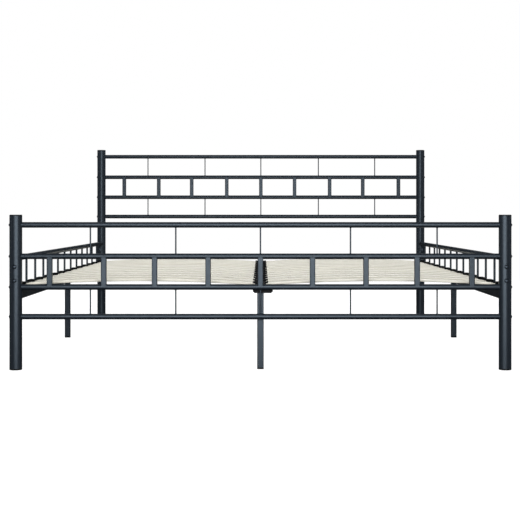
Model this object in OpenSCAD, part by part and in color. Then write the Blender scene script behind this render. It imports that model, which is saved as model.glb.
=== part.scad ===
// Metal bed frame for a 1600 x 2000 mm mattress: two tube panels, two side rails,
// a centre beam on legs and two columns of sprung slats.
// +X is right, +Y runs from the foot end to the head end, +Z is up.
// The origin is on the floor, in the middle of the frame.

/* [Mattress bay] */
// Length between the centres of the foot and head posts
post_pitch_y = 2040; // [2000:10:2240]
// Width between the centres of the left and right posts
post_pitch_x = 1627; // [1427:1:1827]

/* [Panels] */
// Height of the foot panel
foot_h = 515.5; // [495:0.5:640]
// Height of the head panel
head_h = 847.5; // [830:0.5:1000]
// Diameter of the round posts
post_d = 42; // [38:1:50]
// Diameter of the round rails
rail_d = 19; // [16:1:22]
// Drop from the top of a panel to the centre of its top rail
top_drop = 34; // [30:0.5:50]
// Gap between the centres of the top and upper rails
top_gap = 104.5; // [80:0.5:110]
// Gap between the centres of the upper and lower rails
middle_gap = 102; // [80:1:110]
// Gap between the centres of the lower and bottom rails
bottom_gap = 98.5; // [80:0.5:102]
// Side of the square bars between the middle rails
bar_w = 18; // [14:1:18]
// Diameter of the thin wires next to the outer rails
wire_d = 5; // [4:0.5:8]

/* [Side rails] */
// Height of the centre line of the side tube
tube_z = 371; // [360:1:400]
// Height of the top of the side beam and of the centre beam
beam_top = 274; // [254:1:290]
// Width of the side beam
beam_w = 22; // [20:1:24]
// Height of the side beam
beam_h = 41; // [30:1:50]
// Diameter of the side rods
rod_d = 8; // [6:1:10]

/* [Centre support] */
// Width of the centre beam
centre_w = 40; // [30:1:46]
// Height of the centre beam
centre_h = 20; // [20:1:30]
// Side of the square support legs
leg_w = 22; // [20:1:22]

/* [Slats] */
// Distance between neighbouring slats
slat_pitch = 154; // [120:1:156]
// Width of a slat
slat_w = 54; // [45:1:68]
// Thickness of a slat
slat_t = 7.5; // [6:0.5:8]
// Height that a slat bows up at its middle
slat_bow = 14.5; // [8:0.5:18]

/* [Hidden] */
$fn = 64;
fit = 0.05;                        // clearance between parts that touch
wall = 1.5;                        // wall of the rails, beams and legs
box_corner = 2.8;                  // outer corner radius of the box tubes
post_wall = 1.8;
post_r = post_d / 2;
rail_r = rail_d / 2;
post_x = post_pitch_x / 2;
post_y = post_pitch_y / 2;

// Rails, counted down from the top of a panel
rail_drop = [top_drop, top_drop + top_gap, top_drop + top_gap + middle_gap,
             top_drop + top_gap + middle_gap + bottom_gap];
// Square bars and thin wires across the foot and head panels
foot_bar_x = [-701, -521, -352, -174, 0, 173, 351, 521, 703];
head_bar_x = [-697, -521, -353, -174, 0, 172, 351, 520, 702];
foot_wire_x = [-565.5, -281.5, 0, 299.5, 587.5];
head_wire_x = [-576, -285, 0, 293.5, 581];

// Slats in each column
slat_rows = 13;

// Plastic plugs and feet
foot_t = 4.5;
plug_t = 3;
spigot_l = 14;
leg_foot_t = 5;
plug_bevel = 1.5;

// M8 fasteners: hole, shank, threaded insert and heads
hole_r = 4.25;
shank_r = 3.95;
insert_r = rail_r - wall;
insert_l = 14;
insert_gap = 0.3;                  // between a post and the insert in a rail's end
stud_plug_h = 8;
rail_head_r = 5.2;
rail_head_h = 3;
side_head_r = 6.8;
side_head_h = 4.2;
socket_r = 2.9;

// End plates of the side rails and their two bolts
plate_w = 24;
plate_t = 3;
plate_r = post_r + fit + plate_t;
plate_z = [beam_top - beam_h, tube_z + 11];
side_bolt_z = [297, 343];

// Centre beam, its legs and its foot bracket
beam_under = beam_top - beam_h;
centre_under = beam_top - centre_h;
bracket_t = 3;
leg_front = rail_r + bracket_t + 2 * fit;  // post centre line to the front of the end legs
bracket_w = 67;
bracket_shift = 8;                 // the bracket sits off the middle
bracket_chamfer = 6;
bracket_h = 29;
centre_end_y = post_y - leg_front;
centre_leg_y = [-centre_end_y + leg_w / 2, 0, centre_end_y - leg_w / 2];

// Slat holders: plastic sleeves that peg into the beams
holder_w = slat_w + 5.6;
holder_floor = 1.6;
holder_h = 12.8;
pocket_h = 9.4;
notch_r = 4.4;
notch_l = 3;
holder_corner = 6;
side_holder_x = [post_x - 26, post_x + 8];
centre_holder_x = 26;
lip_w = 3.5;
lip_h = 0.8;
pocket_gap = 0.2;                  // beside the slat
slat_gap = 1.2;                    // past the end of the slat
peg_r = 3.9;
peg_hole_r = 4;
peg_l = 4;
slat_x = [11.2, post_x - 6.7];
slat_mid_x = (slat_x[0] + slat_x[1]) / 2;
slat_half = (slat_x[1] - slat_x[0]) / 2;
slat_radius = (slat_half * slat_half + slat_bow * slat_bow) / (2 * slat_bow);
slat_end_z = beam_top + holder_floor + 0.15;
slat_edge = 2;                     // rounding of the slat's long edges

STEEL = "darkslategray";
BLACK = "black";
ZINC = "dimgray";
PLY = "antiquewhite";

// ---------- helpers ----------

function row_y(row) = (row - (slat_rows + 1) / 2) * slat_pitch;
function rail_z(panel_h, n) = panel_h - rail_drop[n];

module along_x(r, length) {
  rotate([0, 90, 0]) cylinder(r = r, h = length, center = true);
}

module along_y(r, length) {
  rotate([90, 0, 0]) cylinder(r = r, h = length, center = true);
}

// Repeats its children on the left and, mirrored, on the right
module both_sides() {
  children();
  mirror([1, 0, 0]) children();
}

// Repeats its children at the head end and, mirrored, at the foot end
module both_ends() {
  children();
  mirror([0, 1, 0]) children();
}

// Rectangle with round corners, built from true arcs
module round_rect(w, h, corner) {
  square([w - 2 * corner, h], center = true);
  square([w, h - 2 * corner], center = true);
  for (x = [-1, 1], y = [-1, 1])
    translate([x * (w / 2 - corner), y * (h / 2 - corner)]) circle(r = corner, $fn = 32);
}

// Section of a box tube with rounded corners
module box_section(w, h) {
  difference() {
    round_rect(w, h, box_corner);
    round_rect(w - 2 * wall, h - 2 * wall, box_corner - wall);
  }
}

// Cutter for a hole through the top or bottom wall of a beam, that wall at z = 0
module wall_hole(r) {
  cylinder(r = r, h = 10, center = true);
}

// Domed socket head with its shank, the head on +Z and its seat on z = 0
module socket_bolt(head_r, head_h, length) {
  crown_r = (head_r * head_r + head_h * head_h) / (2 * head_h);
  difference() {
    union() {
      intersection() {
        translate([0, 0, head_h - crown_r]) sphere(r = crown_r);
        cylinder(r = head_r + 1, h = head_h + 1);
      }
      translate([0, 0, -length]) cylinder(r = shank_r, h = length + 0.5);
    }
    translate([0, 0, head_h * 0.35]) cylinder(r = socket_r, h = head_h, $fn = 6);
  }
}

// ---------- head and foot panels ----------

// One post with its bolt holes: across for the rails, lengthways for the side rail
module post(side, end, panel_h) {
  color(STEEL) translate([side * post_x, end * post_y, 0]) difference() {
    translate([0, 0, foot_t]) cylinder(r = post_r, h = panel_h - foot_t - plug_t);
    cylinder(r = post_r - post_wall, h = panel_h);
    for (n = [0:3]) translate([0, 0, rail_z(panel_h, n)]) along_x(hole_r, 2 * post_d);
    for (z = side_bolt_z) translate([0, 0, z]) along_y(hole_r, 2 * post_d);
  }
}

// One rail, its ends cut to the round of the posts
module rail(end, panel_h, n) {
  color(STEEL) translate([0, end * post_y, rail_z(panel_h, n)]) difference() {
    along_x(rail_r, post_pitch_x - 2 * rail_d);
    along_x(insert_r + fit, post_pitch_x);
    for (x = [-post_x, post_x]) translate([x, 0, 0])
      cylinder(r = post_r + fit, h = 3 * rail_d, center = true);
  }
}

// Room taken by two neighbouring rails, used to cut what stands between them
module rail_pair(panel_h, n) {
  for (k = [n, n + 1]) translate([0, 0, rail_z(panel_h, k)]) along_x(rail_r + fit, post_pitch_x);
}

// Square bars between the upper and lower rails
module bars(end, panel_h, bar_x) {
  color(STEEL) translate([0, end * post_y, 0]) difference() {
    for (x = bar_x) translate([x, 0, rail_z(panel_h, 2)])
      linear_extrude(middle_gap) box_section(bar_w, bar_w);
    rail_pair(panel_h, 1);
  }
}

// Thin wires between the top pair and between the bottom pair of rails
module wires(end, panel_h, wire_x) {
  color(STEEL) translate([0, end * post_y, 0]) for (n = [0, 2]) difference() {
    for (x = wire_x) translate([x, 0, rail_z(panel_h, n + 1)])
      cylinder(r = wire_d / 2, h = rail_drop[n + 1] - rail_drop[n], $fn = 32);
    rail_pair(panel_h, n);
  }
}

// ---------- fasteners and plastic ends ----------

// Places its children at both ends of every rail, with +Z pointing out of the post
module at_rail_ends(x) {
  for (end = [[-1, foot_h], [1, head_h]], n = [0:3])
    both_sides() translate([x, end[0] * post_y, rail_z(end[1], n)]) rotate([0, 90, 0]) children();
}

// Places its children at every side rail bolt, with +Z pointing out of the post
module at_side_bolts(y) {
  for (z = side_bolt_z)
    both_ends() both_sides() translate([post_x, y, z]) rotate([-90, 0, 0]) children();
}

module rail_bolts() {
  color(ZINC) at_rail_ends(post_x + post_r + fit)
    socket_bolt(rail_head_r, rail_head_h, post_d + insert_l);
}

module side_bolts() {
  color(ZINC) at_side_bolts(post_y + post_r + fit)
    socket_bolt(side_head_r, side_head_h, post_d + plate_t + insert_l);
}

module insert() {
  difference() {
    cylinder(r = insert_r, h = insert_l, center = true);
    cylinder(r = shank_r + fit, h = 2 * insert_l, center = true);
  }
}

// Round inserts in the rail ends, behind the end plates and in the beams over the legs
module threaded_inserts() {
  color(ZINC) {
    at_rail_ends(post_x - post_r - insert_l / 2 - insert_gap) insert();
    at_side_bolts(post_y - plate_r - insert_l / 2 - fit) insert();
    both_sides() translate([post_x, 0, beam_under + wall + insert_l / 2 + fit]) insert();
    for (y = centre_leg_y)
      translate([0, y, centre_under + wall + insert_l / 2 + fit]) insert();
  }
}

module post_top_plugs() {
  color(BLACK) both_sides() for (end = [[-1, foot_h], [1, head_h]])
    translate([post_x, end[0] * post_y, end[1] - plug_t + fit]) {
      cylinder(r = post_r, h = plug_t / 2 - fit);
      translate([0, 0, plug_t / 2 - fit]) cylinder(r1 = post_r, r2 = post_r - plug_bevel, h = plug_t / 2);
      translate([0, 0, -spigot_l]) cylinder(r = post_r - post_wall - fit, h = spigot_l);
    }
}

module post_feet() {
  color(BLACK) both_ends() both_sides() translate([post_x, post_y, 0]) {
    cylinder(r1 = post_r - 1, r2 = post_r, h = 1);
    translate([0, 0, 1]) cylinder(r = post_r, h = foot_t - 1 - fit);
    translate([0, 0, foot_t - fit]) cylinder(r = post_r - post_wall - fit, h = spigot_l);
  }
}

// ---------- side rails ----------

// Room taken by the posts with the end plates on them
module post_clearance(r) {
  both_ends() translate([post_x, post_y, 0]) cylinder(r = r, h = foot_h);
}

module side_tube() {
  color(STEEL) difference() {
    translate([post_x, 0, tube_z]) along_y(rail_r, post_pitch_y - post_d);
    translate([post_x, 0, tube_z]) along_y(rail_r - wall, post_pitch_y);
    post_clearance(plate_r + fit);
  }
}

// Box beam with a peg hole for each slat holder and a hole for the leg's stud
module side_beam() {
  color(STEEL) difference() {
    translate([post_x, 0, beam_under + beam_h / 2]) rotate([90, 0, 0])
      translate([0, 0, -post_y + post_r]) linear_extrude(post_pitch_y - post_d)
        box_section(beam_w, beam_h);
    for (row = [1:slat_rows]) translate([post_x, row_y(row), beam_top]) wall_hole(peg_hole_r);
    translate([post_x, 0, beam_under]) wall_hole(hole_r);
    post_clearance(plate_r + fit);
  }
}

// Rods midway between the slats, from the beam up to the tube
module side_rods() {
  color(STEEL) both_sides() difference() {
    for (row = [1:slat_rows - 1]) translate([post_x, row_y(row) + slat_pitch / 2, beam_top + fit])
      cylinder(r = rod_d / 2, h = tube_z - beam_top, $fn = 32);
    translate([post_x, 0, tube_z]) along_y(rail_r + fit, post_pitch_y);
  }
}

// Plates curved round the posts, drilled for the side bolts
module side_end_plates() {
  color(STEEL) both_ends() both_sides() translate([post_x, post_y, 0]) difference() {
    intersection() {
      translate([0, 0, plate_z[0]]) cylinder(r = plate_r, h = plate_z[1] - plate_z[0]);
      translate([-plate_w / 2, -plate_r - 1, 0]) cube([plate_w, plate_r, foot_h]);
    }
    cylinder(r = post_r + fit, h = foot_h);
    for (z = side_bolt_z) translate([0, -post_r, z]) along_y(hole_r, post_d);
  }
}

// ---------- legs and centre beam ----------

module support_legs() {
  color(STEEL) {
    both_sides() translate([post_x, 0, leg_foot_t])
      linear_extrude(beam_under - leg_foot_t - fit) box_section(leg_w, leg_w);
    for (y = centre_leg_y) translate([0, y, leg_foot_t])
      linear_extrude(centre_under - leg_foot_t - fit) box_section(leg_w, leg_w);
  }
}

// Square plug in the top of a leg with the stud that screws into the beam
module stud(top) {
  plug = leg_w - 2 * wall - 2 * fit;
  translate([0, 0, top - stud_plug_h]) linear_extrude(stud_plug_h - 2 * fit)
    round_rect(plug, plug, box_corner - wall);
  translate([0, 0, top - 1]) cylinder(r = shank_r, h = insert_l);
}

module leg_studs() {
  color(ZINC) {
    both_sides() translate([post_x, 0, 0]) stud(beam_under);
    for (y = centre_leg_y) translate([0, y, 0]) stud(centre_under);
  }
}

module leg_foot() {
  inner = leg_w - 2 * wall - 2 * fit;
  linear_extrude(leg_foot_t - fit) round_rect(leg_w, leg_w, box_corner);
  linear_extrude(leg_foot_t + spigot_l) round_rect(inner, inner, box_corner - wall);
}

module leg_feet() {
  color(BLACK) {
    both_sides() translate([post_x, 0, 0]) leg_foot();
    for (y = centre_leg_y) translate([0, y, 0]) leg_foot();
  }
}

module centre_beam() {
  color(STEEL) difference() {
    translate([0, 0, centre_under + centre_h / 2]) rotate([90, 0, 0])
      translate([0, 0, -centre_end_y]) linear_extrude(2 * centre_end_y)
        box_section(centre_w, centre_h);
    for (row = [1:slat_rows]) translate([0, row_y(row), beam_top]) wall_hole(peg_hole_r);
    for (y = centre_leg_y) translate([0, y, centre_under]) wall_hole(hole_r);
  }
}

// Plate on the foot end of the centre beam, with its two lower corners cut off
module centre_bracket() {
  half = bracket_w / 2;
  cut = bracket_chamfer;
  color(BLACK) translate([bracket_shift, -centre_end_y - fit, centre_under]) rotate([90, 0, 0])
    linear_extrude(bracket_t)
      polygon([[-half + cut, 0], [half - cut, 0], [half, cut], [half, bracket_h],
               [-half, bracket_h], [-half, cut]]);
}

// ---------- slats and holders ----------

// Body of a sleeve between two ends, with a lip round each open mouth
module sleeve(x0, x1, lips) {
  linear_extrude(holder_h) translate([(x0 + x1) / 2, 0]) round_rect(x1 - x0, holder_w, holder_corner);
  for (x = lips) intersection() {
    linear_extrude(holder_h + lip_h) translate([(x0 + x1) / 2, 0])
      round_rect(x1 - x0, holder_w + 2 * lip_h, holder_corner);
    translate([x - lip_w, -holder_w, 0]) cube([2 * lip_w, 2 * holder_w, 2 * holder_h]);
  }
}

// Round-ended notch through both side walls of a sleeve, from its mouth at x inwards
module mouth_notch(x) {
  translate([x, 0, holder_floor + pocket_h / 2]) {
    translate([notch_l, 0, 0]) along_y(notch_r, 2 * holder_w, $fn = 32);
    translate([-1, -holder_w, -notch_r]) cube([notch_l + 1, 2 * holder_w, 2 * notch_r]);
  }
}

// Sleeve on the side beam, open towards the middle of the bed
module side_holder() {
  difference() {
    sleeve(side_holder_x[0], side_holder_x[1], [side_holder_x[0]]);
    translate([side_holder_x[0] - 1, -slat_w / 2 - pocket_gap, holder_floor])
      cube([slat_x[1] - side_holder_x[0] + 1 + slat_gap, slat_w + 2 * pocket_gap, pocket_h]);
    mouth_notch(side_holder_x[0]);
  }
  translate([post_x, 0, -peg_l]) cylinder(r = peg_r, h = peg_l + 0.5);
}

// Double sleeve on the centre beam, open to both sides
module centre_holder() {
  difference() {
    sleeve(-centre_holder_x, centre_holder_x, [-centre_holder_x, centre_holder_x]);
    both_sides() translate([slat_x[0] - slat_gap, -slat_w / 2 - pocket_gap, holder_floor])
      cube([centre_holder_x, slat_w + 2 * pocket_gap, pocket_h]);
    both_sides() mouth_notch(-centre_holder_x);
  }
  translate([0, 0, -peg_l]) cylinder(r = peg_r, h = peg_l + 0.5);
}

module slat_holders_side() {
  color(BLACK) both_sides() for (row = [1:slat_rows])
    translate([0, row_y(row), beam_top + fit]) side_holder();
}

module slat_holders_centre() {
  color(BLACK) for (row = [1:slat_rows])
    translate([0, row_y(row), beam_top + fit]) centre_holder();
}

// One slat, an arc that bows upwards; side is -1 on the left and 1 on the right
module slat(side, row) {
  half_angle = asin(slat_half / slat_radius);
  color(PLY) translate([side * slat_mid_x, row_y(row), slat_end_z + slat_bow - slat_radius])
    rotate([90, 0, 0]) rotate([0, 0, 90 - half_angle])
      rotate_extrude(angle = 2 * half_angle, $fn = 1440)
        translate([slat_radius + slat_t / 2, 0]) round_rect(slat_t, slat_w, slat_edge);
}

// ---------- nodes ----------

post(-1, 1, head_h);  // head_post_left
post(1, 1, head_h);  // head_post_right
rail(1, head_h, 0);  // head_rail_top
rail(1, head_h, 1);  // head_rail_upper
rail(1, head_h, 2);  // head_rail_lower
rail(1, head_h, 3);  // head_rail_bottom
bars(1, head_h, head_bar_x);  // head_bars
wires(1, head_h, head_wire_x);  // head_wires
post(-1, -1, foot_h);  // foot_post_left
post(1, -1, foot_h);  // foot_post_right
rail(-1, foot_h, 0);  // foot_rail_top
rail(-1, foot_h, 1);  // foot_rail_upper
rail(-1, foot_h, 2);  // foot_rail_lower
rail(-1, foot_h, 3);  // foot_rail_bottom
bars(-1, foot_h, foot_bar_x);  // foot_bars
wires(-1, foot_h, foot_wire_x);  // foot_wires
rail_bolts();
side_bolts();
threaded_inserts();
post_top_plugs();
post_feet();
mirror([1, 0, 0]) side_tube();  // side_tube_left
side_tube();  // side_tube_right
mirror([1, 0, 0]) side_beam();  // side_beam_left
side_beam();  // side_beam_right
side_rods();
side_end_plates();
support_legs();
leg_studs();
leg_feet();
centre_beam();
centre_bracket();
slat_holders_side();
slat_holders_centre();
slat(-1, 1);  // slat_left_01
slat(-1, 2);  // slat_left_02
slat(-1, 3);  // slat_left_03
slat(-1, 4);  // slat_left_04
slat(-1, 5);  // slat_left_05
slat(-1, 6);  // slat_left_06
slat(-1, 7);  // slat_left_07
slat(-1, 8);  // slat_left_08
slat(-1, 9);  // slat_left_09
slat(-1, 10);  // slat_left_10
slat(-1, 11);  // slat_left_11
slat(-1, 12);  // slat_left_12
slat(-1, 13);  // slat_left_13
slat(1, 1);  // slat_right_01
slat(1, 2);  // slat_right_02
slat(1, 3);  // slat_right_03
slat(1, 4);  // slat_right_04
slat(1, 5);  // slat_right_05
slat(1, 6);  // slat_right_06
slat(1, 7);  // slat_right_07
slat(1, 8);  // slat_right_08
slat(1, 9);  // slat_right_09
slat(1, 10);  // slat_right_10
slat(1, 11);  // slat_right_11
slat(1, 12);  // slat_right_12
slat(1, 13);  // slat_right_13
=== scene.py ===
"""Looks of a metal bed frame: finishes, weld beads, stage, lights and camera.

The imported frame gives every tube, slat and fastener. This script dresses them, adds the
weld beads that join the bars, wires, rods and plates, and sets up a plain studio.
Lengths are in metres, with +X right, +Y from the foot end to the head end and +Z up.
"""

from __future__ import annotations

import logging
import math
from dataclasses import dataclass, field
from enum import Enum

import bmesh
import bpy
from mathutils import Matrix, Vector


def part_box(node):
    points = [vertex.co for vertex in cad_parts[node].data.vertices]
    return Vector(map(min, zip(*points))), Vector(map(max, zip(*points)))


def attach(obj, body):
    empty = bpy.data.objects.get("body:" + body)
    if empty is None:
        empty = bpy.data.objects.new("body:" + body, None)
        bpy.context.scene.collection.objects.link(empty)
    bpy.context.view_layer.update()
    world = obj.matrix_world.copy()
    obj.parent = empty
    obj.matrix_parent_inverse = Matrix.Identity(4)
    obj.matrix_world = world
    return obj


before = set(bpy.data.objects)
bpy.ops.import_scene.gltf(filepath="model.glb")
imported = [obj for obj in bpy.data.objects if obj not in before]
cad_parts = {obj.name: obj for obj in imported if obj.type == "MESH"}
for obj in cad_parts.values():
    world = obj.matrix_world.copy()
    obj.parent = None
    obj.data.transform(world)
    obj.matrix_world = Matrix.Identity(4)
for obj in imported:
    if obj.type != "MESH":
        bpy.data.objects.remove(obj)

log = logging.getLogger("bed_frame")

Colour = Point = Scale = tuple[float, float, float]
Socket = bpy.types.NodeSocket

MM = 0.001
BODY = "root"
# Vertices nearer than this are one
MERGE = 1e-6
WHITE = (1.0, 1.0, 1.0, 1.0)
X, Y, Z = range(3)
RIGHT, HEADWARD, UP = Vector((1, 0, 0)), Vector((0, 1, 0)), Vector((0, 0, 1))


class Slot(Enum):
    """Material slots of the record."""

    POWDER_COAT = "powder_coat"
    BLACK_PLASTIC = "black_plastic"
    BOLT_STEEL = "bolt_steel"
    ZINC_STEEL = "zinc_steel"
    PLYWOOD = "plywood"


class Panel(Enum):
    """The two end panels of the bed."""

    FOOT = "foot"
    HEAD = "head"


class Side(Enum):
    """The two sides of the bed."""

    LEFT = "left"
    RIGHT = "right"


# ---------------------------------------------------------------- node building


class Graph:
    """A node tree with short calls to add and link its nodes."""

    def __init__(self, tree: bpy.types.NodeTree) -> None:
        """Wraps a tree.

        Args:
            tree: The node tree to build in.
        """
        self.tree = tree

    def add(self, kind: str, **settings: object) -> bpy.types.Node:
        """Adds a node and sets its properties.

        Args:
            kind: The node's type name.
            settings: Properties of the node by name.

        Returns:
            The new node.
        """
        node = self.tree.nodes.new(kind)
        for name, value in settings.items():
            setattr(node, name, value)
        return node

    def plug(self, socket: Socket, value: object) -> None:
        """Links an output socket to an input, or sets the input to a constant.

        Args:
            socket: The input socket.
            value: An output socket or a constant.
        """
        if isinstance(value, Socket):
            self.tree.links.new(value, socket)
        else:
            socket.default_value = value

    def feed(self, node: bpy.types.Node, **values: object) -> bpy.types.Node:
        """Links or sets inputs of a node, named in lower case with underscores.

        Args:
            node: The node whose inputs are set.
            values: An output socket or a constant for each input.

        Returns:
            The same node.
        """
        names = {s.name.lower().replace(" ", "_"): s for s in reversed(node.inputs) if s.enabled}
        for name, value in values.items():
            self.plug(names[name], value)
        return node

    def math(self, operation: str, a: Socket | float, b: Socket | float = 0.0) -> Socket:
        """Adds a Math node.

        Args:
            operation: The node's operation.
            a: First operand.
            b: Second operand.

        Returns:
            The result socket.
        """
        node = self.add("ShaderNodeMath", operation=operation)
        for socket, value in zip(node.inputs, (a, b)):
            self.plug(socket, value)
        return node.outputs[0]

    def remap(
        self, value: Socket, low: float, high: float, to_low: float = 0.0, to_high: float = 1.0
    ) -> Socket:
        """Maps a range of a value smoothly onto another range.

        Args:
            value: The value to map.
            low: Start of the source range.
            high: End of the source range.
            to_low: Start of the target range.
            to_high: End of the target range.

        Returns:
            The mapped value.
        """
        node = self.add("ShaderNodeMapRange", interpolation_type="SMOOTHSTEP")
        self.feed(node, value=value, from_min=low, from_max=high, to_min=to_low, to_max=to_high)
        return node.outputs["Result"]

    def mix(
        self, factor: Socket | float, a: Socket | Colour, b: Socket | Colour, blend: str = "MIX"
    ) -> Socket:
        """Mixes two colours.

        Args:
            factor: Share of the second colour.
            a: First colour.
            b: Second colour.
            blend: The way the colours mix.

        Returns:
            The mixed colour.
        """
        node = self.add("ShaderNodeMix", data_type="RGBA", blend_type=blend)
        self.plug(node.inputs[0], factor)
        for socket, colour in ((node.inputs[6], a), (node.inputs[7], b)):
            self.plug(socket, colour if isinstance(colour, Socket) else (*colour, 1.0))
        return node.outputs[2]

    def noise(
        self, vector: Socket, scale: Socket | float, detail: float = 2.0, roughness: float = 0.5
    ) -> Socket:
        """Adds a noise texture and gives its value.

        Args:
            vector: Where the noise is read.
            scale: Features per metre.
            detail: Octaves of finer noise.
            roughness: Strength of the finer octaves.

        Returns:
            The noise value, about 0.5 on average.
        """
        node = self.add("ShaderNodeTexNoise")
        self.feed(node, vector=vector, scale=scale, detail=detail, roughness=roughness)
        return node.outputs[0]

    def stretch(self, vector: Socket, scale: Scale) -> Socket:
        """Scales a vector along its axes.

        Args:
            vector: The vector to scale.
            scale: Factor along each axis.

        Returns:
            The scaled vector.
        """
        return self.feed(self.add("ShaderNodeMapping"), vector=vector, scale=scale).outputs[0]


def new_group(
    name: str, inputs: dict[str, str], outputs: dict[str, str]
) -> tuple[Graph, dict, dict]:
    """Makes an empty shader node group with named sockets.

    Args:
        name: Name of the group.
        inputs: Socket type for each input's name.
        outputs: Socket type for each output's name.

    Returns:
        The group's graph, its inside input sockets by name and its inside output sockets by name.
    """
    tree = bpy.data.node_groups.new(name, "ShaderNodeTree")
    for way, sockets in (("INPUT", inputs), ("OUTPUT", outputs)):
        for socket, kind in sockets.items():
            tree.interface.new_socket(socket, in_out=way, socket_type=kind)
    graph = Graph(tree)
    start = graph.add("NodeGroupInput")
    end = graph.add("NodeGroupOutput")
    return graph, {n: start.outputs[n] for n in inputs}, {n: end.inputs[n] for n in outputs}


VECTOR, FLOAT, COLOR = "NodeSocketVector", "NodeSocketFloat", "NodeSocketColor"


def coat_texture_group() -> bpy.types.NodeTree:
    """Builds the fine surface texture that the coats and the plated steel share.

    Returns:
        The group: a height from fine bumps on a slow swell, and the swell alone as a mottle.
    """
    graph, i, o = new_group(
        "Coat Texture",
        {"Vector": VECTOR, "Grain Scale": FLOAT, "Swell Scale": FLOAT, "Swell Share": FLOAT},
        {"Height": FLOAT, "Mottle": FLOAT},
    )
    grain = graph.noise(i["Vector"], i["Grain Scale"], detail=1.0, roughness=0.4)
    swell = graph.noise(i["Vector"], i["Swell Scale"], detail=2.0, roughness=0.5)
    height = graph.add("ShaderNodeMix", data_type="FLOAT")
    for index, value in ((0, i["Swell Share"]), (2, grain), (3, swell)):
        graph.plug(height.inputs[index], value)
    graph.plug(o["Height"], height.outputs[0])
    graph.plug(o["Mottle"], swell)
    return graph.tree


def tone_group() -> bpy.types.NodeTree:
    """Builds the slow change of brightness that every finish has across its surface.

    Returns:
        The group: a base colour made a little lighter and darker in broad patches.
    """
    graph, i, o = new_group(
        "Tone Drift",
        {"Vector": VECTOR, "Color": COLOR, "Scale": FLOAT, "Amount": FLOAT},
        {"Color": COLOR},
    )
    drift = graph.math("SUBTRACT", graph.noise(i["Vector"], i["Scale"], detail=3.0), 0.5)
    gain = graph.math("ADD", graph.math("MULTIPLY", drift, i["Amount"]), 1.0)
    scaled = graph.add("ShaderNodeVectorMath", operation="SCALE")
    graph.plug(scaled.inputs[0], i["Color"])
    graph.plug(scaled.inputs["Scale"], gain)
    graph.plug(o["Color"], scaled.outputs[0])
    return graph.tree


@dataclass(frozen=True)
class Finish:
    """A surface finish; its subclasses say how the colour, gloss and bump vary.

    Attributes:
        slot: The record's slot that the finish dresses.
        colour: Linear base colour.
        roughness: Mean roughness.
    """

    slot: Slot
    colour: Colour
    roughness: float

    def material(self) -> bpy.types.Material:
        """Makes the Blender material of this finish.

        Returns:
            The new material.
        """
        made = bpy.data.materials.new(self.slot.value + "_finish")
        made.use_nodes = True
        made.node_tree.nodes.clear()
        graph = Graph(made.node_tree)
        shader = graph.add("ShaderNodeBsdfPrincipled")
        out = graph.add("ShaderNodeOutputMaterial")
        graph.feed(out, surface=shader.outputs[0])
        place = graph.add("ShaderNodeTexCoord")
        self.dress(graph, shader, place)
        made.diffuse_color = (*self.colour, 1.0)
        return made

    def dress(self, graph: Graph, shader: bpy.types.Node, place: bpy.types.Node) -> None:
        """Feeds the shader. Each finish has its own.

        Args:
            graph: The material's graph.
            shader: The Principled shader.
            place: The texture coordinates.
        """
        raise NotImplementedError


@dataclass(frozen=True)
class CoatedFinish(Finish):
    """Powder coat or moulded plastic: an even colour over a fine texture.

    Attributes:
        groups: The shared node groups by name.
        grain: Bumps per metre.
        depth: Height of the bumps.
        shine: Strength of the reflections.
        drift: Share by which the tone drifts.
        sheen: Tint of the reflections.
        swell: How many bumps span one of the slow swells.
        swell_share: Share of the swells in the height.
        patches: Patches of tone per metre.
    """

    groups: dict[str, bpy.types.NodeTree]
    grain: float
    depth: float
    shine: float
    drift: float = 0.12
    sheen: Colour = (1.0, 1.0, 1.0)
    swell: float = 7.0
    swell_share: float = 0.45
    patches: float = 9.0

    def dress(self, graph: Graph, shader: bpy.types.Node, place: bpy.types.Node) -> None:
        """Feeds colour, roughness and bump from the shared groups.

        Args:
            graph: The material's graph.
            shader: The Principled shader.
            place: The texture coordinates.
        """
        spot = place.outputs["Object"]
        texture = graph.add("ShaderNodeGroup", node_tree=self.groups["texture"])
        graph.feed(texture, vector=spot, grain_scale=self.grain)
        graph.feed(texture, swell_scale=self.grain / self.swell, swell_share=self.swell_share)
        tone = graph.add("ShaderNodeGroup", node_tree=self.groups["tone"])
        graph.feed(tone, vector=spot, color=(*self.colour, 1.0))
        graph.feed(tone, scale=self.patches, amount=self.drift)
        low, high = self.roughness - 0.04, self.roughness + 0.05
        rough = graph.remap(texture.outputs["Mottle"], 0.3, 0.7, low, high)
        bump = graph.add("ShaderNodeBump")
        graph.feed(bump, height=texture.outputs["Height"], strength=0.6, distance=self.depth)
        graph.feed(shader, base_color=tone.outputs[0], roughness=rough, normal=bump.outputs[0])
        graph.feed(shader, specular_ior_level=self.shine, specular_tint=(*self.sheen, 1.0))


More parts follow.
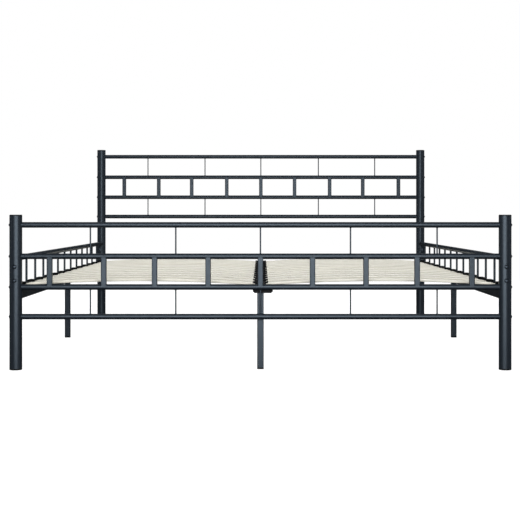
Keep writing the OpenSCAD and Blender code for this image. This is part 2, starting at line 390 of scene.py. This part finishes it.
@dataclass(frozen=True)
class PlatedFinish(Finish):
    """Oxidised or zinc plated steel: metal with fine turning marks and dull patches.

    Attributes:
        groups: The shared node groups by name.
        patch: Colour of the duller patches.
    """

    groups: dict[str, bpy.types.NodeTree]
    patch: Colour

    def dress(self, graph: Graph, shader: bpy.types.Node, place: bpy.types.Node) -> None:
        """Feeds colour, roughness and bump for plated steel.

        Args:
            graph: The material's graph.
            shader: The Principled shader.
            place: The texture coordinates.
        """
        spot = place.outputs["Object"]
        patches = graph.remap(graph.noise(spot, 260.0, detail=3.0), 0.42, 0.62)
        tone = graph.add("ShaderNodeGroup", node_tree=self.groups["tone"])
        blended = graph.mix(patches, self.colour, self.patch)
        graph.feed(tone, vector=spot, color=blended, scale=60.0, amount=0.2)
        texture = graph.add("ShaderNodeGroup", node_tree=self.groups["texture"])
        graph.feed(texture, vector=spot, grain_scale=2600.0, swell_scale=700.0, swell_share=0.3)
        rough = graph.remap(patches, 0.0, 1.0, self.roughness - 0.05, self.roughness + 0.12)
        bump = graph.add("ShaderNodeBump")
        graph.feed(bump, height=texture.outputs["Height"], strength=0.4, distance=0.02 * MM)
        graph.feed(shader, base_color=tone.outputs[0], roughness=rough, normal=bump.outputs[0])
        graph.feed(shader, metallic=1.0)


@dataclass(frozen=True)
class PlywoodFinish(Finish):
    """Pale bent plywood: long grain on the faces, veneers and glue lines on the edges.

    Attributes:
        groups: The shared node groups by name.
        grain_colour: Colour of the darker grain lines.
        edge_colour: Colour of the veneers' edges.
        glue_colour: Colour of the glue lines between veneers.
        arc_centre: Distance of the arc's centre from the middle plane, and its height.
        inner_radius: Radius of a slat's underside.
        thickness: Thickness of a slat.
        veneers: Number of veneers.
        pitch: Distance between slats.
        warp_scale: Waves of the grain per metre along each axis.
        warp_reach: How far the grain wanders sideways.
        grain_scale: Grain lines per metre along each axis.
        pore_scale: Pores per metre along each axis.
        grain_strength: How much of the grain colour the grain lines take.
        pore_strength: How much of the grain colour the pores take.
        glue_strength: How much of the glue colour the glue lines take.
        odd_strength: How much of the glue colour every other veneer takes.
        warm_tint: Tint that makes some slats warmer.
        warm_strength: How much of the tint the warmest slats take.
    """

    groups: dict[str, bpy.types.NodeTree]
    grain_colour: Colour
    edge_colour: Colour
    glue_colour: Colour
    arc_centre: tuple[float, float]
    inner_radius: float
    thickness: float
    veneers: int
    pitch: float
    warp_scale: Scale = (1.6, 14.0, 6.0)
    warp_reach: float = 12 * MM
    grain_scale: Scale = (2.2, 190.0, 60.0)
    pore_scale: Scale = (34.0, 1500.0, 700.0)
    grain_strength: float = 0.5
    pore_strength: float = 0.22
    glue_strength: float = 0.4
    odd_strength: float = 0.2
    warm_tint: Colour = (0.96, 0.935, 0.875)
    warm_strength: float = 0.35

    def depth_in_slat(self, graph: Graph, x: Socket, z: Socket) -> Socket:
        """Measures how far up through a slat's thickness a point is.

        Args:
            graph: The material's graph.
            x: The point's X.
            z: The point's Z.

        Returns:
            0 on the underside and 1 on the top.
        """
        across = graph.math("SUBTRACT", graph.math("ABSOLUTE", x), self.arc_centre[0])
        up = graph.math("SUBTRACT", z, self.arc_centre[1])
        # The arc is flat enough for its height to follow the square of the distance
        drop = graph.math("DIVIDE", graph.math("MULTIPLY", across, across), 2 * self.inner_radius)
        above = graph.math("SUBTRACT", graph.math("ADD", up, drop), self.inner_radius)
        return graph.math("DIVIDE", above, self.thickness)

    def dress(self, graph: Graph, shader: bpy.types.Node, place: bpy.types.Node) -> None:
        """Feeds grain, veneers and a tone of its own for each slat.

        Args:
            graph: The material's graph.
            shader: The Principled shader.
            place: The texture coordinates.
        """
        spot = place.outputs["Object"]
        parts = graph.feed(graph.add("ShaderNodeSeparateXYZ"), vector=spot)
        x, y, z = parts.outputs

        warp = graph.noise(graph.stretch(spot, self.warp_scale), 1.0, detail=2.0)
        shifted = graph.add("ShaderNodeCombineXYZ")
        wander = graph.math("MULTIPLY", warp, self.warp_reach)
        graph.feed(shifted, x=x, y=graph.math("ADD", y, wander), z=z)
        along_grain = graph.stretch(shifted.outputs[0], self.grain_scale)
        bands = graph.noise(along_grain, 1.0, detail=4.0, roughness=0.6)
        pores = graph.noise(graph.stretch(spot, self.pore_scale), 1.0, detail=2.0)
        grain = graph.remap(bands, 0.45, 0.72)
        pore = graph.remap(pores, 0.60, 0.74)
        grained = graph.math("MULTIPLY", grain, self.grain_strength)
        face = graph.mix(grained, self.colour, self.grain_colour)
        face = graph.mix(graph.math("MULTIPLY", pore, self.pore_strength), face, self.grain_colour)

        depth = graph.math("MULTIPLY", self.depth_in_slat(graph, x, z), self.veneers)
        ply = graph.math("FLOOR", depth)
        line = graph.math("ABSOLUTE", graph.math("SUBTRACT", graph.math("FRACT", depth), 0.5))
        glue = graph.remap(line, 0.40, 0.48)
        odd = graph.math("MODULO", ply, 2.0)
        darker = graph.math("MULTIPLY", odd, self.odd_strength)
        veneer = graph.mix(darker, self.edge_colour, self.glue_colour)
        glued = graph.math("MULTIPLY", glue, self.glue_strength)
        veneer = graph.mix(glued, veneer, self.glue_colour)

        turn = graph.feed(graph.add("ShaderNodeSeparateXYZ"), vector=place.outputs["Normal"])
        edge = graph.remap(graph.math("ABSOLUTE", turn.outputs[1]), 0.55, 0.85)
        wood = graph.mix(edge, face, veneer)

        row = graph.math("ROUND", graph.math("DIVIDE", y, self.pitch))
        own = graph.add("ShaderNodeTexWhiteNoise", noise_dimensions="2D")
        seat = graph.add("ShaderNodeCombineXYZ")
        graph.feed(seat, x=graph.math("SIGN", x), y=row)
        graph.feed(own, vector=seat.outputs[0])
        warmth = graph.math("MULTIPLY", own.outputs["Value"], self.warm_strength)
        wood = graph.mix(warmth, wood, graph.mix(1.0, wood, self.warm_tint, "MULTIPLY"))
        tone = graph.add("ShaderNodeGroup", node_tree=self.groups["tone"])
        broad = graph.stretch(spot, (1.0, 3.0, 3.0))
        graph.feed(tone, vector=broad, color=wood, scale=3.0, amount=0.10)

        ridges = graph.math("MULTIPLY", bands, 0.5)
        relief = graph.math("SUBTRACT", ridges, graph.math("MULTIPLY", pore, 0.6))
        groove = graph.math("MULTIPLY", graph.math("MULTIPLY", glue, edge), 0.8)
        relief = graph.math("SUBTRACT", relief, groove)
        bump = graph.add("ShaderNodeBump")
        graph.feed(bump, height=relief, strength=0.5, distance=0.10 * MM)
        rough = graph.remap(bands, 0.3, 0.75, self.roughness - 0.06, self.roughness + 0.08)
        graph.feed(shader, base_color=tone.outputs[0], roughness=rough, normal=bump.outputs[0])
        graph.feed(shader, coat_weight=0.12, coat_roughness=0.35)


@dataclass
class Finishes:
    """All the finishes of the bed, as materials by slot."""

    by_slot: dict[Slot, bpy.types.Material] = field(default_factory=dict)

    def make(self, slats: "Slats") -> None:
        """Makes the shared groups and one material for each slot.

        Args:
            slats: The slats, which give the plywood its arc.
        """
        groups = {"texture": coat_texture_group(), "tone": tone_group()}
        finishes: list[Finish] = [
            CoatedFinish(
                Slot.POWDER_COAT, (0.013, 0.017, 0.023), roughness=0.36, groups=groups,
                grain=900.0, depth=0.016 * MM, shine=0.5, sheen=(0.71, 0.86, 1.0),
            ),
            CoatedFinish(
                Slot.BLACK_PLASTIC, (0.003, 0.0033, 0.0038), roughness=0.6, groups=groups,
                grain=1300.0, depth=0.02 * MM, shine=0.12, drift=0.2,
            ),
            PlatedFinish(
                Slot.BOLT_STEEL, (0.085, 0.105, 0.135), roughness=0.36, groups=groups,
                patch=(0.065, 0.08, 0.10),
            ),
            PlatedFinish(
                Slot.ZINC_STEEL, (0.62, 0.63, 0.64), roughness=0.34, groups=groups,
                patch=(0.5, 0.5, 0.49),
            ),
            PlywoodFinish(
                Slot.PLYWOOD, (0.88, 0.86, 0.78), roughness=0.5, groups=groups,
                grain_colour=(0.80, 0.765, 0.66), edge_colour=(0.77, 0.755, 0.67),
                glue_colour=(0.62, 0.57, 0.48), arc_centre=slats.arc_centre(),
                inner_radius=slats.inner_radius(), thickness=slats.thickness,
                veneers=slats.veneers, pitch=slats.pitch(),
            ),
        ]
        for finish in finishes:
            self.by_slot[finish.slot] = finish.material()
            log.info("finish %s", finish.slot.value)

    def dress(self, piece: bpy.types.Object, slot: Slot) -> None:
        """Gives a piece the material of a slot.

        Args:
            piece: The object to dress.
            slot: The slot whose material it takes.
        """
        piece.data.materials.clear()
        piece.data.materials.append(self.by_slot[slot])

    def dress_node(self, node: str, slot: Slot) -> None:
        """Gives a CAD node the material of a slot.

        Args:
            node: The node's name.
            slot: The slot whose material it takes.
        """
        self.dress(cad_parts[node], slot)
        log.info("node %s", node)


# ---------------------------------------------------------------- meshes


def size_of(node: str) -> Vector:
    """Gives the size of a CAD node's box.

    Args:
        node: The node's name.

    Returns:
        Its length along each axis.
    """
    low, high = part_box(node)
    return high - low


def middle_of(node: str) -> Vector:
    """Gives the middle of a CAD node's box.

    Args:
        node: The node's name.

    Returns:
        The middle point.
    """
    low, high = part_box(node)
    return (low + high) / 2


def solids_of(node: str, axis: int = X) -> list[tuple[Vector, Vector]]:
    """Finds the separate solids of a CAD node and sorts them along an axis.

    Args:
        node: The node's name.
        axis: Axis along which the solids are sorted.

    Returns:
        The box of each solid.
    """
    mesh = bmesh.new()
    mesh.from_mesh(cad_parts[node].data)
    bmesh.ops.remove_doubles(mesh, verts=mesh.verts, dist=MERGE)
    left = set(mesh.verts)
    boxes = []
    while left:
        front = [left.pop()]
        found = list(front)
        while front:
            vert = front.pop()
            for other in (e.other_vert(vert) for e in vert.link_edges):
                if other in left:
                    left.discard(other)
                    front.append(other)
                    found.append(other)
        low = Vector([min(v.co[k] for v in found) for k in (X, Y, Z)])
        high = Vector([max(v.co[k] for v in found) for k in (X, Y, Z)])
        boxes.append((low, high))
    mesh.free()
    return sorted(boxes, key=lambda box: (box[0][axis], *box[0]))


def settle(mesh: bmesh.types.BMesh) -> None:
    """Puts a mesh's vertices and faces in an order that comes from their places alone.

    Args:
        mesh: The mesh to reorder.
    """
    rank = {v: n for n, v in enumerate(sorted(mesh.verts, key=lambda v: tuple(v.co)))}
    mesh.verts.sort(key=rank.get)
    corners = {f: sorted(rank[v] for v in f.verts) for f in mesh.faces}
    rank = {f: n for n, f in enumerate(sorted(mesh.faces, key=corners.get))}
    mesh.faces.sort(key=rank.get)


def finish_piece(mesh: bmesh.types.BMesh, name: str, slot: Slot, finishes: Finishes) -> None:
    """Turns a finished bmesh into a piece that rides on the frame.

    Args:
        mesh: The finished mesh, which is freed.
        name: Name of the piece.
        slot: The record's slot that it takes its finish from.
        finishes: The finishes.
    """
    bmesh.ops.remove_doubles(mesh, verts=mesh.verts, dist=MERGE)
    bmesh.ops.recalc_face_normals(mesh, faces=mesh.faces)
    settle(mesh)
    data = bpy.data.meshes.new(name)
    mesh.to_mesh(data)
    mesh.free()
    for face in data.polygons:
        face.use_smooth = True
    piece = bpy.data.objects.new(name, data)
    bpy.context.scene.collection.objects.link(piece)
    finishes.dress(piece, slot)
    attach(piece, BODY)
    log.info("piece %s: %d faces", name, len(data.polygons))


@dataclass(frozen=True)
class WeldBead:
    """A fillet bead of round section, swept along a joint.

    Attributes:
        leg: Radius of the bead's section.
        section: Sides of the section.
    """

    leg: float
    section: int = 8

    def profile(
        self, mesh: bmesh.types.BMesh, centre: Vector, facing: Matrix
    ) -> list[bmesh.types.BMEdge]:
        """Adds the bead's round section, with its plane's normal along the facing's Z.

        Args:
            mesh: The mesh to add to.
            centre: Middle of the section.
            facing: Turn of the section.

        Returns:
            The edges of the section.
        """
        place = Matrix.Translation(centre) @ facing.to_4x4()
        made = bmesh.ops.create_circle(mesh, segments=self.section, radius=self.leg, matrix=place)
        return list(dict.fromkeys(e for v in made["verts"] for e in v.link_edges))

    def ring(
        self, mesh: bmesh.types.BMesh, centre: Vector, axis: Vector, radius: float, steps: int = 16
    ) -> list[bmesh.types.BMVert]:
        """Sweeps a bead right round a rod.

        Args:
            mesh: The mesh to add to.
            centre: Middle of the ring.
            axis: The rod's direction.
            radius: The rod's radius.
            steps: Steps round the rod.

        Returns:
            The ring's vertices.
        """
        before = set(mesh.verts)
        out = axis.orthogonal().normalized()
        turn = Matrix((out, axis, out.cross(axis))).transposed()
        edges = self.profile(mesh, centre + out * radius, turn)
        bmesh.ops.spin(
            mesh, geom=edges, cent=centre, axis=axis, angle=math.tau, steps=steps,
            use_merge=True, use_duplicate=False,
        )
        return [v for v in mesh.verts if v not in before]

    def arc(
        self, mesh: bmesh.types.BMesh, centre: Vector, axis: Vector, start: Vector, angle: float,
        steps: int = 10,
    ) -> None:
        """Sweeps a bead part of the way round a tube, with closed ends.

        Args:
            mesh: The mesh to add to.
            centre: Point on the tube's axis.
            axis: The tube's direction.
            start: Offset from the centre to the bead's first section.
            angle: Angle swept.
            steps: Steps along the arc.
        """
        out = start.normalized()
        turn = Matrix((out, axis, out.cross(axis))).transposed()
        edges = self.profile(mesh, centre + start, turn)
        cap = bmesh.ops.contextual_create(mesh, geom=edges)["faces"]
        bmesh.ops.spin(
            mesh, geom=cap, cent=centre, axis=axis, angle=angle, steps=steps, use_duplicate=False
        )

    def run(self, mesh: bmesh.types.BMesh, start: Vector, end: Vector) -> None:
        """Sweeps a bead in a straight line, with closed ends.

        Args:
            mesh: The mesh to add to.
            start: Where the bead starts.
            end: Where it ends.
        """
        along = (end - start).normalized()
        out = along.orthogonal().normalized()
        turn = Matrix((out, along.cross(out), along)).transposed()
        cap = bmesh.ops.contextual_create(mesh, geom=self.profile(mesh, start, turn))["faces"]
        moved = bmesh.ops.extrude_face_region(mesh, geom=cap)["geom"]
        verts = [g for g in moved if isinstance(g, bmesh.types.BMVert)]
        bmesh.ops.translate(mesh, verts=verts, vec=end - start)


def saddle(
    verts: list[bmesh.types.BMVert], axis_point: Vector, along: int, lift: int, radius: float,
    sign: int,
) -> None:
    """Bends a flat ring onto the round of a tube.

    Args:
        verts: The ring's vertices.
        axis_point: Point on the tube's axis.
        along: Index of the tube's own axis.
        lift: Index of the axis that the ring is lifted along.
        radius: The tube's radius.
        sign: 1 if the ring is on the high side of the tube, -1 on the low side.
    """
    across = 3 - along - lift
    for vert in verts:
        off = min(abs(vert.co[across] - axis_point[across]), radius)
        vert.co[lift] -= sign * (radius - math.sqrt(radius * radius - off * off))


# ---------------------------------------------------------------- sub-assemblies


@dataclass
class EndPanel:
    """One end panel: posts, rails, bars and wires, with the beads that join them.

    Attributes:
        panel: Which end it is.
        bar_bead: Radius of the beads at the square bars.
        wire_bead: Radius of the beads at the wires.
        bar_reach: Largest share of the rail's radius that a bar's bead spans.
        wire_gap: How near to a rail a wire must end to be welded to it.
    """

    panel: Panel
    bar_bead: float = 1.3 * MM
    wire_bead: float = 0.9 * MM
    bar_reach: float = 0.93
    wire_gap: float = 2 * MM

    def nodes(self) -> list[str]:
        """Lists the panel's CAD nodes.

        Returns:
            Their names.
        """
        posts = [f"post_{side.value}" for side in Side]
        rails = [f"rail_{name}" for name in ("top", "upper", "lower", "bottom")]
        return [f"{self.panel.value}_{part}" for part in (*posts, *rails, "bars", "wires")]

    def rail(self, name: str) -> tuple[Vector, float]:
        """Gives the middle and the radius of one of the panel's rails."""
        node = f"{self.panel.value}_rail_{name}"
        return middle_of(node), size_of(node).z / 2

    def build(self, finishes: Finishes) -> None:
        """Dresses the panel and adds its beads.

        Args:
            finishes: The finishes.
        """
        for node in self.nodes():
            finishes.dress_node(node, Slot.POWDER_COAT)
        self.weld_bars(finishes)
        self.weld_wires(finishes)

    def weld_bars(self, finishes: Finishes) -> None:
        """Adds a bead on both sides of each bar, round the rails above and below it.

        Args:
            finishes: The finishes.
        """
        mesh = bmesh.new()
        bead = WeldBead(self.bar_bead, section=6)
        for low, high in solids_of(f"{self.panel.value}_bars"):
            half = (high.y - low.y) / 2
            for name, sign in (("upper", -1), ("lower", 1)):
                middle, radius = self.rail(name)
                reach = math.asin(min(self.bar_reach, half / radius))
                for x in (low.x, high.x):
                    centre = Vector((x, middle.y, middle.z))
                    start = Vector((0, -math.sin(reach), sign * math.cos(reach))) * radius
                    bead.arc(mesh, centre, RIGHT, start, -sign * 2 * reach)
        finish_piece(mesh, f"{self.panel.value}_bar_welds", Slot.POWDER_COAT, finishes)

    def weld_wires(self, finishes: Finishes) -> None:
        """Adds a small bead round both ends of each wire.

        Args:
            finishes: The finishes.
        """
        mesh = bmesh.new()
        bead = WeldBead(self.wire_bead, section=6)
        for low, high in solids_of(f"{self.panel.value}_wires"):
            centre = (low + high) / 2
            radius = (high.x - low.x) / 2
            for name in ("top", "upper", "lower", "bottom"):
                middle, rail_radius = self.rail(name)
                sign = 1 if centre.z > middle.z else -1
                tip = middle.z + sign * rail_radius
                if min(abs(low.z - tip), abs(high.z - tip)) > self.wire_gap:
                    continue
                at = Vector((centre.x, middle.y, tip))
                ring = bead.ring(mesh, at, UP, radius, steps=12)
                saddle(ring, middle, along=X, lift=Z, radius=rail_radius, sign=sign)
        finish_piece(mesh, f"{self.panel.value}_wire_welds", Slot.POWDER_COAT, finishes)


@dataclass
class SideRails:
    """Both side rails: tubes, beams, rods, end plates and their beads.

    Attributes:
        rod_bead: Radius of the beads at the rods.
        plate_bead: Radius of the beads at the end plates.
        plate_inset: How far the upright beads stop short of the beam's edges.
    """

    rod_bead: float = 1.1 * MM
    plate_bead: float = 1.6 * MM
    plate_inset: float = 3 * MM

    def build(self, finishes: Finishes) -> None:
        """Dresses the side rails and adds their beads.

        Args:
            finishes: The finishes.
        """
        sides = [f"side_{part}_{side.value}" for part in ("tube", "beam") for side in Side]
        for node in [*sides, "side_rods", "side_end_plates"]:
            finishes.dress_node(node, Slot.POWDER_COAT)
        self.weld_rods(finishes)
        self.weld_plates(finishes)

    def weld_rods(self, finishes: Finishes) -> None:
        """Adds a bead round the top and the foot of each rod.

        Args:
            finishes: The finishes.
        """
        mesh = bmesh.new()
        bead = WeldBead(self.rod_bead, section=6)
        tube = middle_of("side_tube_right")
        tube_radius = size_of("side_tube_right").z / 2
        for low, high in solids_of("side_rods", axis=Y):
            centre = (low + high) / 2
            radius = (high.x - low.x) / 2
            foot = Vector((centre.x, centre.y, low.z))
            top = Vector((centre.x, centre.y, tube.z - tube_radius))
            bead.ring(mesh, foot, UP, radius, steps=14)
            ring = bead.ring(mesh, top, UP, radius, steps=14)
            tube_axis = Vector((centre.x, 0, tube.z))
            saddle(ring, tube_axis, along=Y, lift=Z, radius=tube_radius, sign=-1)
        finish_piece(mesh, "side_rod_welds", Slot.POWDER_COAT, finishes)

    def weld_plates(self, finishes: Finishes) -> None:
        """Adds beads where the tubes and beams meet the end plates.

        Args:
            finishes: The finishes.
        """
        mesh = bmesh.new()
        bead = WeldBead(self.plate_bead)
        for side in Side:
            tube_low, tube_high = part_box(f"side_tube_{side.value}")
            beam_low, beam_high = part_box(f"side_beam_{side.value}")
            post = middle_of(f"head_post_{side.value}")
            tube_radius = (tube_high.z - tube_low.z) / 2
            for end in (-1, 1):
                face = post.y - tube_high.y
                plate_radius = math.hypot(tube_radius, face)
                touch = end * (post.y - plate_radius)
                at = Vector((post.x, touch, (tube_low.z + tube_high.z) / 2))
                ring = bead.ring(mesh, at, HEADWARD, tube_radius)
                post_axis = Vector((post.x, end * post.y, 0))
                saddle(ring, post_axis, along=Z, lift=Y, radius=plate_radius, sign=-end)
                edge = end * beam_high.y
                for x in (beam_low.x, beam_high.x):
                    foot = Vector((x, edge, beam_low.z + self.plate_inset))
                    top = Vector((x, edge, beam_high.z - self.plate_inset))
                    bead.run(mesh, foot, top)
        finish_piece(mesh, "end_plate_welds", Slot.POWDER_COAT, finishes)


@dataclass
class CentreSupport:
    """The centre beam, its bracket and all the support legs with their feet."""

    def build(self, finishes: Finishes) -> None:
        """Dresses the beam, bracket, legs, studs and feet.

        Args:
            finishes: The finishes.
        """
        dressing = {
            "centre_beam": Slot.POWDER_COAT,
            "centre_bracket": Slot.BLACK_PLASTIC,
            "support_legs": Slot.POWDER_COAT,
            "leg_studs": Slot.ZINC_STEEL,
            "leg_feet": Slot.BLACK_PLASTIC,
        }
        for node, slot in dressing.items():
            finishes.dress_node(node, slot)


@dataclass
class Slats:
    """The two columns of bowed plywood slats and the sleeves that hold them.

    Attributes:
        count: Slats in a column.
        thickness: Thickness of a slat.
        veneers: Veneers in a slat.
    """

    count: int = 13
    thickness: float = 7.5 * MM
    veneers: int = 6

    def pitch(self) -> float:
        """Gives the distance between neighbouring slats."""
        first, last = middle_of("slat_right_01"), middle_of(f"slat_right_{self.count:02d}")
        return (last.y - first.y) / (self.count - 1)

    def inner_radius(self) -> float:
        """Works out the radius of a slat's underside from its span and bow.

        Returns:
            The radius.
        """
        size = size_of("slat_right_01")
        bow = size.z - self.thickness
        half = size.x / 2
        return (half * half + bow * bow) / (2 * bow)

    def arc_centre(self) -> tuple[float, float]:
        """Gives the arc's centre: its distance from the middle plane and its height."""
        low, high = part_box("slat_right_01")
        return (low.x + high.x) / 2, high.z - self.thickness - self.inner_radius()

    def build(self, finishes: Finishes) -> None:
        """Dresses the slats and their holders.

        Args:
            finishes: The finishes.
        """
        for side in Side:
            for row in range(1, self.count + 1):
                finishes.dress_node(f"slat_{side.value}_{row:02d}", Slot.PLYWOOD)
        for node in ("slat_holders_side", "slat_holders_centre"):
            finishes.dress_node(node, Slot.BLACK_PLASTIC)


@dataclass
class Fittings:
    """Bolts, inserts, plugs and feet."""

    def build(self, finishes: Finishes) -> None:
        """Dresses the fittings.

        Args:
            finishes: The finishes.
        """
        dressing = {
            "rail_bolts": Slot.BOLT_STEEL,
            "side_bolts": Slot.BOLT_STEEL,
            "threaded_inserts": Slot.BOLT_STEEL,
            "post_top_plugs": Slot.BLACK_PLASTIC,
            "post_feet": Slot.BLACK_PLASTIC,
        }
        for node, slot in dressing.items():
            finishes.dress_node(node, slot)


# ---------------------------------------------------------------- studio


@dataclass(frozen=True)
class Softbox:
    """A rectangular studio light.

    Attributes:
        name: Name of the light.
        place: Where it stands.
        aim: The point that it faces.
        width: Its width.
        height: Its height.
        radiance: How bright its face is.
        mirrored: Whether glossy surfaces show it.
        diffuse: Whether it lights matt surfaces.
    """

    name: str
    place: Point
    aim: Point
    width: float
    height: float
    radiance: float
    mirrored: bool = True
    diffuse: bool = True

    def build(self) -> None:
        """Adds the light to the scene."""
        data = bpy.data.lights.new(self.name, "AREA")
        data.shape = "RECTANGLE"
        data.size = self.width
        data.size_y = self.height
        data.energy = self.radiance * math.pi * self.width * self.height
        lamp = bpy.data.objects.new(self.name, data)
        lamp.visible_camera = False
        lamp.visible_glossy = self.mirrored
        lamp.visible_diffuse = self.diffuse
        lamp.location = self.place
        facing = Vector(self.aim) - Vector(self.place)
        lamp.rotation_euler = facing.to_track_quat("-Z", "Y").to_euler()
        bpy.context.scene.collection.objects.link(lamp)
        log.info("light %s", self.name)


@dataclass
class Studio:
    """The pale floor, the even backdrop, the lights and the camera.

    Attributes:
        floor_radius: Radius of the floor.
        floor_tone: Grey of the floor.
        floor_glow: Light that the floor gives off towards the camera.
        fade_start: Share of the floor's radius at which it starts to fade out.
        eye: Where the camera stands.
        lens: Focal length in millimetres.
        shift: Sideways and vertical shift of the view.
        fill: Brightness of the surroundings that light the object.
    """

    floor_radius: float = 5.5
    floor_tone: float = 0.45
    floor_glow: float = 0.78
    fade_start: float = 0.4
    eye: Point = (0.0039, -4.834, 0.5107)
    lens: float = 79.4
    shift: tuple[float, float] = (-0.0031, -0.0844)
    fill: float = 0.02

    def lights(self) -> list[Softbox]:
        """Lists the studio's softboxes.

        Returns:
            The softboxes: one seen in the tubes from the front, five fills and three dim ones.
        """
        ahead, middle = (0.0, 0.0, 0.78), (0.0, 0.0, 0.3)
        return [
            Softbox("front_softbox", (0.0, -2.9, 0.78), ahead, 2.25, 1.7, 4.9, diffuse=False),
            Softbox("front_fill", (0.0, -8.0, 2.8), middle, 6.0, 4.0, 7.6, mirrored=False),
            Softbox("top_fill", (0.0, 0.5, 5.5), middle, 7.0, 7.0, 1.8, mirrored=False),
            Softbox("back_fill", (0.0, 8.0, 1.5), middle, 6.0, 4.0, 4.0, mirrored=False),
            Softbox("left_fill", (-8.0, 0.5, 1.5), middle, 6.0, 4.0, 4.0, mirrored=False),
            Softbox("right_fill", (8.0, 0.5, 1.5), middle, 6.0, 4.0, 4.0, mirrored=False),
            Softbox("back_softbox", (0.0, 6.0, 4.6), middle, 4.0, 2.0, 0.8),
            Softbox("left_softbox", (-5.5, -2.2, 1.4), middle, 1.6, 3.0, 0.4),
            Softbox("right_softbox", (5.5, -2.2, 1.4), middle, 1.6, 3.0, 0.4),
        ]

    def build(self) -> None:
        """Builds the floor, the surroundings, the lights and the camera."""
        self.make_floor()
        self.make_surroundings()
        for light in self.lights():
            light.build()
        self.make_camera()

    def make_floor(self) -> None:
        """Adds the pale floor, which takes soft shadows but doesn't light the object."""
        mesh = bmesh.new()
        bmesh.ops.create_circle(mesh, cap_ends=True, segments=64, radius=self.floor_radius)
        data = bpy.data.meshes.new("studio_floor")
        mesh.to_mesh(data)
        mesh.free()
        floor = bpy.data.objects.new("studio_floor", data)
        bpy.context.scene.collection.objects.link(floor)
        paint = bpy.data.materials.new("studio_floor")
        paint.use_nodes = True
        graph = Graph(paint.node_tree)
        shader = next(n for n in paint.node_tree.nodes if n.type == "BSDF_PRINCIPLED")
        grey = (self.floor_tone, self.floor_tone, self.floor_tone, 1.0)
        graph.feed(shader, base_color=grey, roughness=1.0, specular_ior_level=0.0)
        graph.feed(shader, emission_color=WHITE, emission_strength=self.floor_glow)
        away = graph.add("ShaderNodeVectorMath", operation="LENGTH")
        graph.plug(away.inputs[0], graph.add("ShaderNodeTexCoord").outputs["Object"])
        start = self.fade_start * self.floor_radius
        fade = graph.remap(away.outputs["Value"], start, self.floor_radius, 1.0, 0.0)
        graph.feed(shader, alpha=fade)
        data.materials.append(paint)
        floor.visible_diffuse = False
        floor.visible_glossy = False
        floor.visible_shadow = False
        log.info("floor")

    def make_surroundings(self) -> None:
        """Makes an even white backdrop with a dim fill on the object."""
        world = bpy.data.worlds.new("studio")
        world.use_nodes = True
        world.node_tree.nodes.clear()
        graph = Graph(world.node_tree)
        seen = graph.feed(graph.add("ShaderNodeBackground"), color=WHITE, strength=1.0)
        fill = graph.feed(graph.add("ShaderNodeBackground"), color=WHITE, strength=self.fill)
        ray = graph.add("ShaderNodeLightPath")
        both = graph.add("ShaderNodeMixShader")
        out = graph.add("ShaderNodeOutputWorld")
        shares = (ray.outputs["Is Camera Ray"], fill.outputs[0], seen.outputs[0])
        for socket, value in zip(both.inputs, shares):
            graph.plug(socket, value)
        graph.plug(out.inputs[0], both.outputs[0])
        bpy.context.scene.world = world
        log.info("surroundings")

    def make_camera(self) -> None:
        """Adds the level camera at the foot end."""
        data = bpy.data.cameras.new("camera")
        data.lens = self.lens
        data.sensor_width = 36.0
        data.shift_x, data.shift_y = self.shift
        data.clip_end = 200.0
        camera = bpy.data.objects.new("camera", data)
        camera.location = self.eye
        camera.rotation_euler = (math.pi / 2, 0.0, 0.0)
        bpy.context.scene.collection.objects.link(camera)
        bpy.context.scene.camera = camera
        log.info("camera")


def main() -> None:
    """Builds the looks of the bed, piece by piece."""
    logging.basicConfig(level=logging.INFO, format="%(message)s")
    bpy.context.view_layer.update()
    bpy.context.scene.view_settings.view_transform = "Standard"
    slats = Slats()
    finishes = Finishes()
    finishes.make(slats)
    for panel in Panel:
        EndPanel(panel).build(finishes)
    SideRails().build(finishes)
    CentreSupport().build(finishes)
    slats.build(finishes)
    Fittings().build(finishes)
    Studio().build()


if __name__ == "__main__":
    main()
